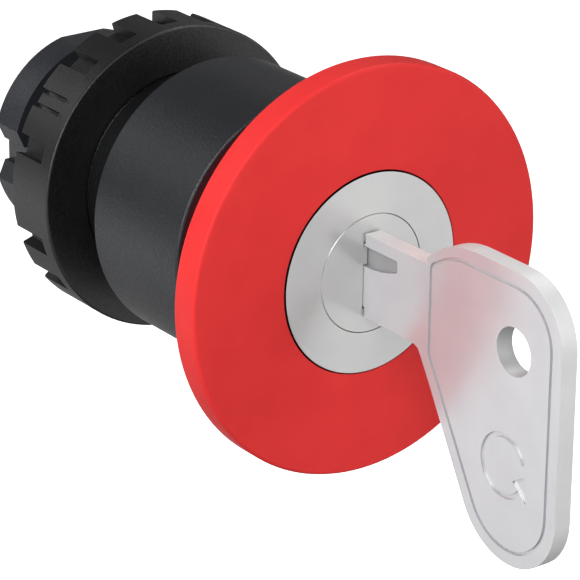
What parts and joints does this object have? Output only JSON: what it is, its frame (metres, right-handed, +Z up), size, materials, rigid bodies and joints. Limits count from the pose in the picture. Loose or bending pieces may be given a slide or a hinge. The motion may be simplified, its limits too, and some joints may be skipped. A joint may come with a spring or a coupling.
{
  "type": "emergency stop button",
  "caption": "Panel-mounted mushroom-head emergency stop operator with key release, collar, threaded barrel and castellated ring nut.",
  "frame": {"origin": "on the button axis, in the plane where the panel seal meets the front of the panel", "axes": "+Y along the button axis from the head towards the contact side, +Z up, key plate in the YZ plane"},
  "size_m": [0.04, 0.0759, 0.0408],
  "materials": {
    "red_plastic": "satin moulded red plastic",
    "black_plastic": "fine spark-eroded black plastic",
    "nut_plastic": "matt black plastic",
    "grey_plastic": "smooth dark grey plastic",
    "satin_metal": "satin nickel plate",
    "key_metal": "satin nickel plate, rounded edges",
    "spring_steel": "plain drawn wire and stamped strip",
    "brass": "stamped brass",
    "black_rubber": "matt black rubber"
  },
  "bodies": {
    "housing": {"collar": "black_plastic", "barrel": "black_plastic", "panel_gasket": "black_rubber", "stem_seal": "black_rubber", "spring_seat": "spring_steel", "return_spring": "spring_steel"},
    "nut": {"ring_nut": "nut_plastic"},
    "head": {"mushroom_cap": "red_plastic", "lock_gasket": "black_rubber", "lock_body": "satin_metal", "stem_tube": "grey_plastic", "cap_retaining_ring": "spring_steel", "stem_o_ring": "black_rubber", "lock_retaining_ring": "spring_steel", "pusher": "grey_plastic", "pawl_spring": "spring_steel", "rotor_spring": "spring_steel"},
    "rotor": {"key_rotor": "satin_metal", "rotor_clip": "spring_steel", "release_cam": "brass", "cam_screw": "spring_steel", "wafer_spring_1": "spring_steel", "wafer_spring_2": "spring_steel", "wafer_spring_3": "spring_steel", "wafer_spring_4": "spring_steel", "wafer_spring_5": "spring_steel"},
    "key": {"key": "key_metal"},
    "wafer_1": {"wafer_1": "brass"},
    "wafer_2": {"wafer_2": "brass"},
    "wafer_3": {"wafer_3": "brass"},
    "wafer_4": {"wafer_4": "brass"},
    "wafer_5": {"wafer_5": "brass"},
    "pawl_left": {"latch_pawl_left": "satin_metal"},
    "pawl_right": {"latch_pawl_right": "satin_metal"}
  },
  "joints": [
    {"name": "button_push", "type": "slide", "parent": "housing", "child": "head", "axis": [0, 1, 0], "range_m": [0, 0.005], "stiffness_N_per_m": 2500, "springref_m": -0.006, "deforming": ["return_spring"]},
    {"name": "nut_unscrew", "type": "slide", "parent": "housing", "child": "nut", "axis": [0, 1, 0], "range_m": [0, 0.02]},
    {"name": "key_turn", "type": "hinge", "parent": "head", "child": "rotor", "pos_m": [0, -0.0254, 0], "axis": [0, 1, 0], "range_deg": [0, 45], "stiffness_Nm_per_rad": 0.02, "springref_deg": -28.65, "deforming": ["rotor_spring"]},
    {"name": "key_withdraw", "type": "slide", "parent": "rotor", "child": "key", "axis": [0, -1, 0], "range_m": [0, 0.02]},
    {"name": "wafer_1_lift", "type": "slide", "parent": "rotor", "child": "wafer_1", "axis": [0, 0, 1], "range_m": [0, 0.00045], "deforming": ["wafer_spring_1"]},
    {"name": "wafer_2_lift", "type": "slide", "parent": "rotor", "child": "wafer_2", "axis": [0, 0, -1], "range_m": [0, 0.00045], "deforming": ["wafer_spring_2"]},
    {"name": "wafer_3_lift", "type": "slide", "parent": "rotor", "child": "wafer_3", "axis": [0, 0, 1], "range_m": [0, 0.00045], "deforming": ["wafer_spring_3"]},
    {"name": "wafer_4_lift", "type": "slide", "parent": "rotor", "child": "wafer_4", "axis": [0, 0, -1], "range_m": [0, 0.00045], "deforming": ["wafer_spring_4"]},
    {"name": "wafer_5_lift", "type": "slide", "parent": "rotor", "child": "wafer_5", "axis": [0, 0, 1], "range_m": [0, 0.00045], "deforming": ["wafer_spring_5"]},
    {"name": "pawl_left_spread", "type": "slide", "parent": "head", "child": "pawl_left", "axis": [-1, 0, 0], "range_m": [0, 0.00075], "deforming": ["pawl_spring"]},
    {"name": "pawl_right_spread", "type": "slide", "parent": "head", "child": "pawl_right", "axis": [1, 0, 0], "range_m": [0, 0.00075]}
  ],
  "couplings": [
    {"joint": "wafer_1_lift", "follows": "key_withdraw", "ratio": 0.0225},
    {"joint": "wafer_2_lift", "follows": "key_withdraw", "ratio": 0.0225},
    {"joint": "wafer_3_lift", "follows": "key_withdraw", "ratio": 0.0225},
    {"joint": "wafer_4_lift", "follows": "key_withdraw", "ratio": 0.0225},
    {"joint": "wafer_5_lift", "follows": "key_withdraw", "ratio": 0.0225},
    {"joint": "pawl_left_spread", "follows": "button_push", "ratio": 0.15},
    {"joint": "pawl_right_spread", "follows": "button_push", "ratio": 0.15}
  ]
}
